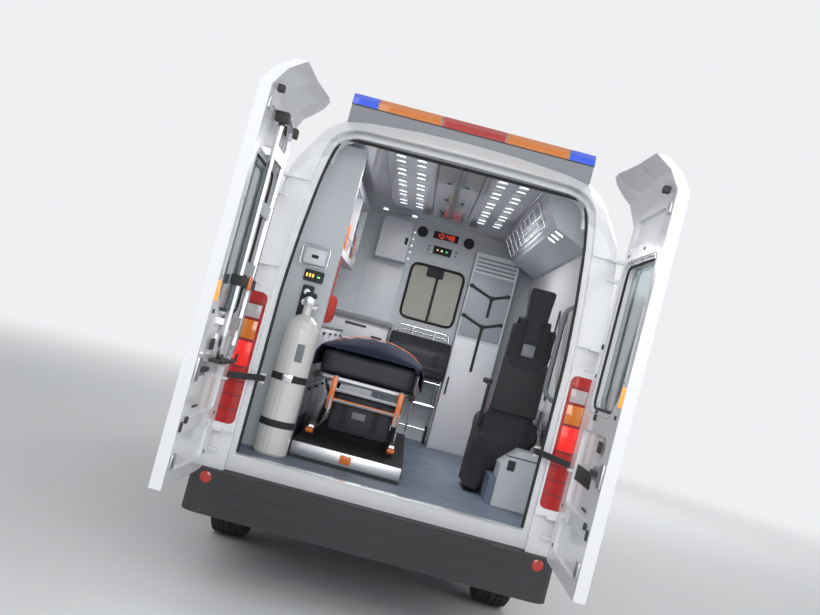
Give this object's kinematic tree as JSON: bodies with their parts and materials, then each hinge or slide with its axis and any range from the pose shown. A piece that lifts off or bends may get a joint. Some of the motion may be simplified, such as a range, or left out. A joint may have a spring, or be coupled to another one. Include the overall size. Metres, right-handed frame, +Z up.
{
  "type": "ambulance",
  "caption": "Large high-roof panel-van ambulance with open rear doors, stretcher, cupboards and seats inside, turning wheels, steering, opening cab doors and bonnet.",
  "frame": {"origin": "on the floor, midway along and across the whole vehicle as it stands, with the open rear doors counted", "axes": "+Z up, +Y towards the front of the vehicle, +X towards its right-hand side"},
  "size_m": [2.43, 6.8864, 2.765],
  "materials": {
    "paint": "gloss white",
    "black_plastic": "grained black",
    "clear_lamp": "clear moulded lens",
    "red_lamp": "red moulded lens",
    "blue_lamp": "blue moulded lens",
    "glass": "tinted",
    "trim": "satin grey moulding",
    "floor": "blue-grey sheet vinyl on a painted base",
    "seat": "dark woven",
    "mattress": "black coated cover",
    "aluminium": "bright tube",
    "cylinder": "white enamel",
    "steel": "silver lacquer",
    "dark_steel": "black chassis paint",
    "tyre": "black rubber"
  },
  "bodies": {
    "body": {"floor_chassis": "floor", "side_left": "paint", "side_right": "paint", "roof": "paint", "rear_frame": "paint", "front_body": "paint", "front_bumper": "black_plastic", "grille": "black_plastic", "headlamp_left": "clear_lamp", "headlamp_right": "clear_lamp", "windscreen": "glass", "sliding_door": "paint", "sliding_door_glass": "glass", "tail_lamp_left": "red_lamp", "tail_lamp_right": "red_lamp", "rear_step": "black_plastic", "rear_light_bar": "blue_lamp", "front_light_bar": "blue_lamp", "bulkhead": "trim", "bulkhead_glass": "glass", "ceiling_panel": "trim", "wall_cabinet": "trim", "overhead_locker": "trim", "side_box": "trim", "attendant_seat": "seat", "driver_seat": "seat", "passenger_seat": "seat", "dashboard": "black_plastic", "stretcher_platform": "aluminium", "stretcher_frame": "aluminium", "stretcher_mattress": "mattress", "oxygen_cylinder": "cylinder", "engine_block": "dark_steel", "front_subframe": "dark_steel", "rear_axle": "dark_steel"},
    "bonnet": {"bonnet": "paint"},
    "cab_door_left": {"cab_door_left": "paint", "cab_glass_left": "glass", "mirror_left": "black_plastic"},
    "cab_door_right": {"cab_door_right": "paint", "cab_glass_right": "glass", "mirror_right": "black_plastic"},
    "rear_door_left": {"rear_door_left": "paint", "rear_glass_left": "glass", "scoop_stretcher": "aluminium"},
    "rear_door_right": {"rear_door_right": "paint", "rear_glass_right": "glass"},
    "check_arm_left": {"check_arm_left": "black_plastic"},
    "check_arm_right": {"check_arm_right": "black_plastic"},
    "steering_wheel": {"steering_wheel": "black_plastic"},
    "knuckle_left": {"knuckle_left": "dark_steel"},
    "knuckle_right": {"knuckle_right": "dark_steel"},
    "wheel_front_left": {"tyre_front_left": "tyre", "rim_front_left": "steel"},
    "wheel_front_right": {"tyre_front_right": "tyre", "rim_front_right": "steel"},
    "wheel_rear_left": {"tyre_rear_left": "tyre", "rim_rear_left": "steel"},
    "wheel_rear_right": {"tyre_rear_right": "tyre", "rim_rear_right": "steel"}
  },
  "joints": [
    {"name": "steer_left", "type": "hinge", "parent": "body", "child": "knuckle_left", "pos_m": [-0.795, 2.44325, 0.3555], "axis": [0, 0, 1], "range_deg": [-35, 35]},
    {"name": "steer_right", "type": "hinge", "parent": "body", "child": "knuckle_right", "pos_m": [0.795, 2.44325, 0.3555], "axis": [0, 0, 1], "range_deg": [-35, 35]},
    {"name": "steering_wheel_turn", "type": "hinge", "parent": "body", "child": "steering_wheel", "pos_m": [-0.46, 1.94325, 1.22], "axis": [0, -0.6428, 0.766], "range_deg": [-490, 490]},
    {"name": "spin_front_left", "type": "hinge", "parent": "knuckle_left", "child": "wheel_front_left", "pos_m": [-0.855, 2.44325, 0.3555], "axis": [1, 0, 0], "continuous": true},
    {"name": "spin_front_right", "type": "hinge", "parent": "knuckle_right", "child": "wheel_front_right", "pos_m": [0.855, 2.44325, 0.3555], "axis": [1, 0, 0], "continuous": true},
    {"name": "spin_rear_left", "type": "hinge", "parent": "body", "child": "wheel_rear_left", "pos_m": [-0.855, -1.22175, 0.3555], "axis": [1, 0, 0], "continuous": true},
    {"name": "spin_rear_right", "type": "hinge", "parent": "body", "child": "wheel_rear_right", "pos_m": [0.855, -1.22175, 0.3555], "axis": [1, 0, 0], "continuous": true},
    {"name": "cab_door_left_hinge", "type": "hinge", "parent": "body", "child": "cab_door_left", "pos_m": [-1.0005, 2.37325, 1], "axis": [0, 0, -1], "range_deg": [0, 65]},
    {"name": "cab_door_right_hinge", "type": "hinge", "parent": "body", "child": "cab_door_right", "pos_m": [1.0005, 2.37325, 1], "axis": [0, 0, 1], "range_deg": [0, 65]},
    {"name": "rear_door_left_hinge", "type": "hinge", "parent": "body", "child": "rear_door_left", "pos_m": [-0.965, -2.48275, 1], "axis": [0, 0, -1], "range_deg": [-90, 0]},
    {"name": "rear_door_right_hinge", "type": "hinge", "parent": "body", "child": "rear_door_right", "pos_m": [0.965, -2.48275, 1], "axis": [0, 0, 1], "range_deg": [-90, 0]},
    {"name": "check_arm_left_pivot", "type": "hinge", "parent": "body", "child": "check_arm_left", "pos_m": [-0.752, -2.37175, 1.1], "axis": [0, 0, -1], "range_deg": [-108, 0]},
    {"name": "check_arm_right_pivot", "type": "hinge", "parent": "body", "child": "check_arm_right", "pos_m": [0.752, -2.37175, 1.1], "axis": [0, 0, 1], "range_deg": [-108, 0]},
    {"name": "bonnet_hinge", "type": "hinge", "parent": "body", "child": "bonnet", "pos_m": [0, 2.63725, 1.262], "axis": [1, 0, 0], "range_deg": [0, 50]}
  ],
  "couplings": [
    {"joint": "steer_right", "follows": "steer_left", "ratio": 1},
    {"joint": "steering_wheel_turn", "follows": "steer_left", "ratio": 14},
    {"joint": "check_arm_left_pivot", "follows": "rear_door_left_hinge", "ratio": 1.2},
    {"joint": "check_arm_right_pivot", "follows": "rear_door_right_hinge", "ratio": 1.2}
  ]
}
